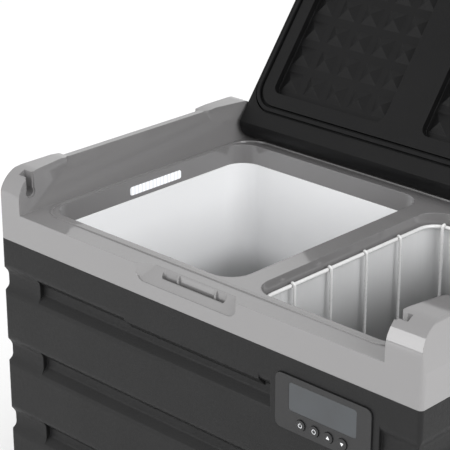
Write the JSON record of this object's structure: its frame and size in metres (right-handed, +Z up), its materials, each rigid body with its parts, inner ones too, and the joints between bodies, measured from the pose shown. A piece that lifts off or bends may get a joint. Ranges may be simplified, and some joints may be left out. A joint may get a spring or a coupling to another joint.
{
  "type": "compressor cooler fridge",
  "caption": "Portable dual-zone compressor cooler: ribbed cabinet with grey top frame, two bins, lift-out wire basket and a lift-off hinged lid.",
  "frame": {"origin": "centre of the cabinet's footprint, at the height of the surface it stands on", "axes": "+X along the cabinet towards the end with the fan and the inlet, -Y out of the front with the control panel, +Z up"},
  "size_m": [0.642, 0.6587, 0.7523],
  "materials": {
    "body_plastic": "fine moulded grain, charcoal",
    "frame_plastic": "smooth semi-gloss grey",
    "lid_plastic": "fine moulded grain, near black",
    "trim_plastic": "black, lightly textured",
    "white_liner": "smooth white",
    "liner_metal": "satin aluminium sheet",
    "coated_wire": "white plastic-coated wire",
    "lens": "frosted, lit from behind",
    "display_glass": "dark display window",
    "rubber": "matt black",
    "foam": "rigid insulating foam",
    "steel": "zinc-plated steel",
    "black_metal": "black enamel",
    "fins": "bare aluminium fins",
    "copper": "copper tube",
    "brass": "plated contacts",
    "board": "green circuit board"
  },
  "bodies": {
    "cabinet": {"body_shell": "body_plastic", "top_frame": "frame_plastic", "base_pan": "body_plastic", "rubber_feet": "rubber", "cabinet_foam": "foam", "left_liner": "white_liner", "right_liner": "liner_metal", "left_evaporator": "liner_metal", "right_evaporator": "liner_metal", "led_lens": "lens", "led_board": "board", "temperature_probes": "white_liner", "compressor": "black_metal", "compressor_base": "steel", "compressor_mounts": "rubber", "condenser": "fins", "filter_dryer": "copper", "refrigerant_lines": "copper", "fan_frame": "trim_plastic", "fan_motor": "trim_plastic", "inverter_board": "board", "heat_sink": "fins", "control_bezel": "trim_plastic", "display_window": "display_glass", "display_board": "board", "dc_inlet": "trim_plastic", "inlet_contacts": "brass", "vent_grille": "trim_plastic", "rear_grille": "trim_plastic", "grille_screws": "steel", "base_screws": "steel"},
    "pins": {"hinge_pins": "steel"},
    "lid": {"lid_shell": "lid_plastic", "lid_panel": "lid_plastic", "lid_foam": "foam", "lid_gasket": "rubber", "front_pins": "steel", "latch_pin": "steel", "latch_spring": "steel"},
    "latch": {"latch_handle": "lid_plastic"},
    "basket": {"basket_rim": "coated_wire", "basket_uprights": "coated_wire", "basket_floor": "coated_wire"},
    "fan": {"fan_impeller": "trim_plastic"},
    "power_key": {"power_button": "trim_plastic"},
    "set_key": {"set_button": "trim_plastic"},
    "up_key": {"up_button": "trim_plastic"},
    "down_key": {"down_button": "trim_plastic"}
  },
  "joints": [
    {"name": "lid_lift_off", "type": "slide", "parent": "cabinet", "child": "pins", "axis": [0, 0, -1], "range_m": [-0.035, 0]},
    {"name": "lid_hinge", "type": "hinge", "parent": "pins", "child": "lid", "pos_m": [0, 0.191, 0.4145], "axis": [1, 0, 0], "range_deg": [0, 127]},
    {"name": "latch_pivot", "type": "hinge", "parent": "lid", "child": "latch", "pos_m": [0, 0.43896, 0.72545], "axis": [1, 0, 0], "range_deg": [-30, 0], "stiffness_Nm_per_rad": 0.6, "springref_deg": 11.46},
    {"name": "basket_lift_out", "type": "slide", "parent": "cabinet", "child": "basket", "axis": [0, 0, -1], "range_m": [-0.24, 0]},
    {"name": "fan_spin", "type": "hinge", "parent": "cabinet", "child": "fan", "pos_m": [0.285, 0, 0.097], "axis": [1, 0, 0], "continuous": true},
    {"name": "power_press", "type": "slide", "parent": "cabinet", "child": "power_key", "axis": [0, 1, 0], "range_m": [0, 0.0012], "stiffness_N_per_m": 400, "springref_m": -0.001},
    {"name": "set_press", "type": "slide", "parent": "cabinet", "child": "set_key", "axis": [0, 1, 0], "range_m": [0, 0.0012], "stiffness_N_per_m": 400, "springref_m": -0.001},
    {"name": "up_press", "type": "slide", "parent": "cabinet", "child": "up_key", "axis": [0, 1, 0], "range_m": [0, 0.0012], "stiffness_N_per_m": 400, "springref_m": -0.001},
    {"name": "down_press", "type": "slide", "parent": "cabinet", "child": "down_key", "axis": [0, 1, 0], "range_m": [0, 0.0012], "stiffness_N_per_m": 400, "springref_m": -0.001}
  ]
}
